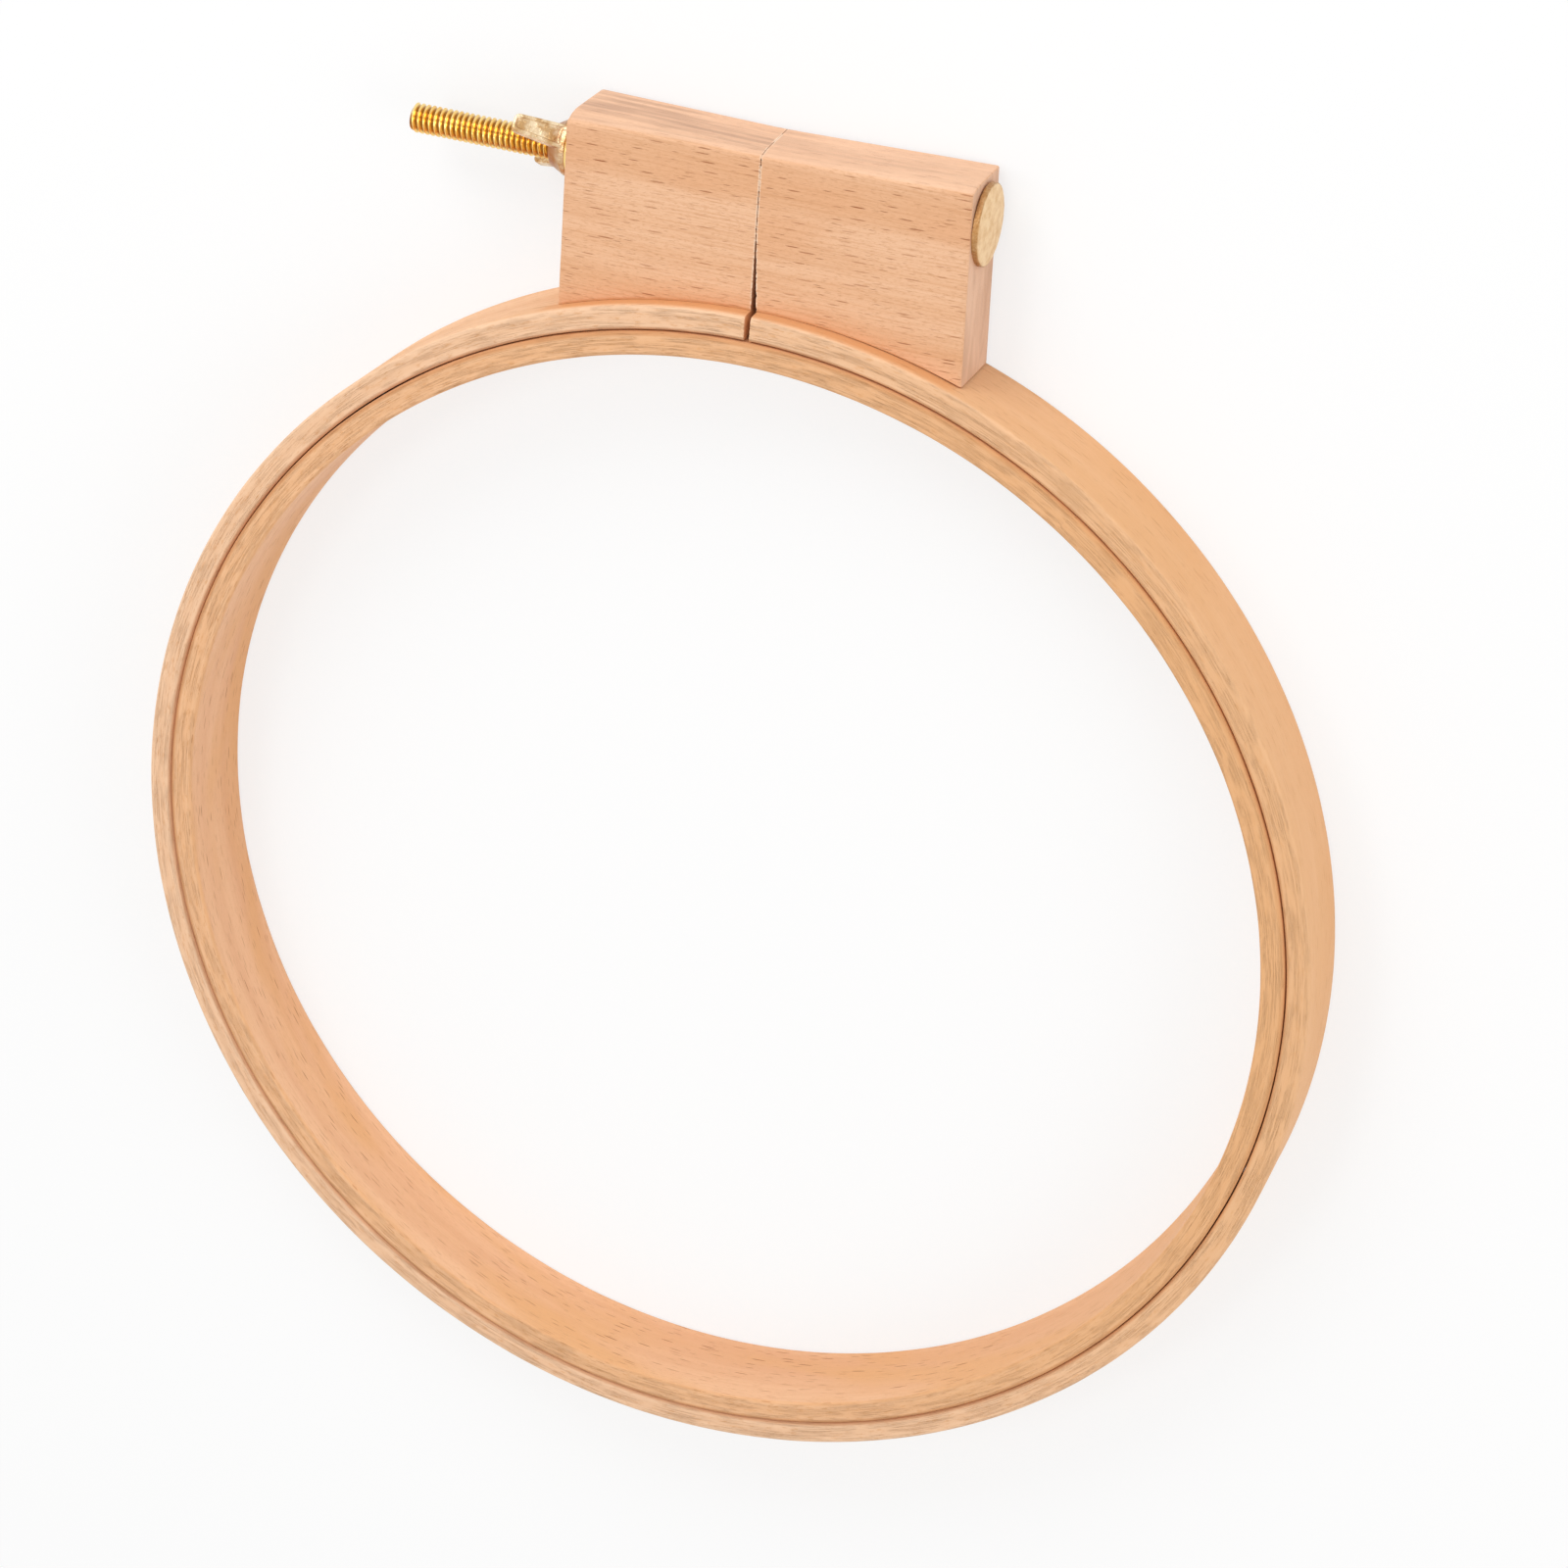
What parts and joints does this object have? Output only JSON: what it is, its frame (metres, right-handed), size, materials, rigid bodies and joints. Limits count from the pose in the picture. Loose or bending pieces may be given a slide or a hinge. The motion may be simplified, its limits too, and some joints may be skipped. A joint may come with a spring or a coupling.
{
  "type": "embroidery hoop",
  "caption": "Round wooden embroidery hoop: a plain inner ring inside a split outer ring, drawn together by a clamp block, bolt and wing nut.",
  "frame": {"origin": "on the hoop's axis, halfway through the depth of the inner ring", "axes": "+Z along the hoop's axis, towards the face that is worked on; +Y from the middle to the clamp; +X to the bolt's head"},
  "size_m": [0.276, 0.3118, 0.0238],
  "materials": {
    "beech_ring": "sanded, bare",
    "beech_block": "sanded, bare",
    "brass_bolt": "bright plated",
    "brass_nut": "as cast"
  },
  "bodies": {
    "right_half": {"outer_ring_right": "beech_ring", "clamp_block_right": "beech_block", "clamp_bolt": "brass_bolt"},
    "left_half": {"outer_ring_left": "beech_ring", "clamp_block_left": "beech_block"},
    "inner_ring": {"inner_ring": "beech_ring"},
    "washer": {"washer": "brass_bolt"},
    "wing_nut": {"wing_nut": "brass_nut"}
  },
  "joints": [
    {"name": "ring_opening", "type": "hinge", "parent": "right_half", "child": "left_half", "pos_m": [0, -0.138, 0], "axis": [0, 0, 1], "range_deg": [0, 1]},
    {"name": "washer_travel", "type": "slide", "parent": "right_half", "child": "washer", "axis": [-1, 0, 0], "range_m": [0, 0.00536]},
    {"name": "wing_nut_turn", "type": "hinge", "parent": "washer", "child": "wing_nut", "pos_m": [-0.0445, 0.1628, -0.00205], "axis": [-1, 0, 0], "range_deg": [0, 1520.3]},
    {"name": "inner_ring_lift", "type": "slide", "parent": "right_half", "child": "inner_ring", "axis": [0, 0, 1], "range_m": [0, 0.04]}
  ],
  "couplings": [
    {"joint": "ring_opening", "follows": "wing_nut_turn", "ratio": 0.00065775},
    {"joint": "washer_travel", "follows": "wing_nut_turn", "m_per_rad": 0.00020213}
  ]
}
